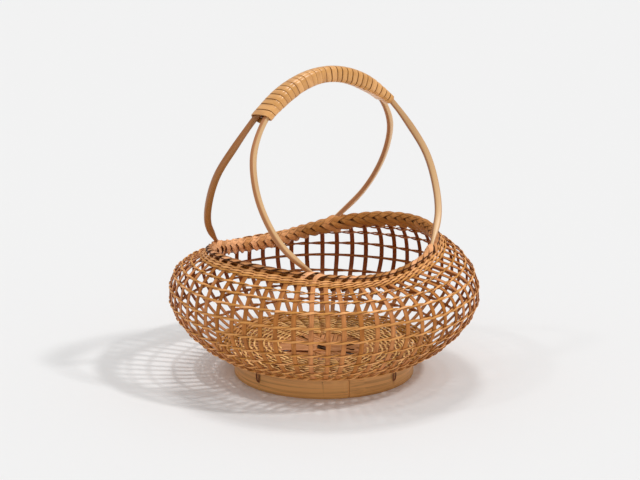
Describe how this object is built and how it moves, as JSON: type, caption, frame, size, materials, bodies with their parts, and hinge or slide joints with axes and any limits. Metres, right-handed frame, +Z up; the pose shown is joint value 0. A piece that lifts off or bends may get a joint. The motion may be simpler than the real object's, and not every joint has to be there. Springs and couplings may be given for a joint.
{
  "type": "flower basket",
  "caption": "Squat round openwork bamboo basket on a foot ring, with a saddle shaped rim and a fixed arched handle of crossed strips under a cane wrap.",
  "frame": {"origin": "middle of the foot ring, on the surface that the basket stands on", "axes": "+Z up; X along the handle's grip, under the two high ends of the rim; Y across the grip"},
  "size_m": [0.286, 0.2854, 0.285],
  "materials": {
    "bent_bamboo_ring": "split bamboo with fine grain along the strip, oiled, satin",
    "tie_cane": "dark stained split cane",
    "stake_bamboo": "split bamboo, stained warm brown, satin",
    "base_bamboo": "fine split bamboo, close woven, golden brown",
    "weaver_bamboo": "fine split bamboo, warm golden brown, satin",
    "border_bamboo": "folded split bamboo ends, warm brown, satin",
    "handle_bamboo": "split bamboo strip, straw with a browner skin side, satin",
    "wrap_cane": "flat split cane, golden, satin gloss"
  },
  "bodies": {
    "root": {"foot_ring": "bent_bamboo_ring", "ring_tie_1": "tie_cane", "ring_tie_2": "tie_cane", "ring_tie_3": "tie_cane", "ring_tie_4": "tie_cane", "split_splint_1": "stake_bamboo", "split_splint_2": "stake_bamboo", "split_splint_3": "stake_bamboo", "split_splint_4": "stake_bamboo", "base_weave_lower": "base_bamboo", "base_weave_upper": "base_bamboo", "wall_weaver_1": "weaver_bamboo", "wall_weaver_2": "weaver_bamboo", "wall_weaver_3": "weaver_bamboo", "wall_weaver_4": "weaver_bamboo", "wall_weaver_5": "weaver_bamboo", "wall_weaver_6": "weaver_bamboo", "wall_weaver_7": "weaver_bamboo", "wall_weaver_8": "weaver_bamboo", "wall_weaver_9": "weaver_bamboo", "rim_weaver_1": "weaver_bamboo", "rim_weaver_2": "weaver_bamboo", "rim_weaver_3": "weaver_bamboo", "plaited_border": "border_bamboo", "handle_strip_upper": "handle_bamboo", "handle_strip_lower": "handle_bamboo", "handle_wrap": "wrap_cane"}
  },
  "joints": []
}
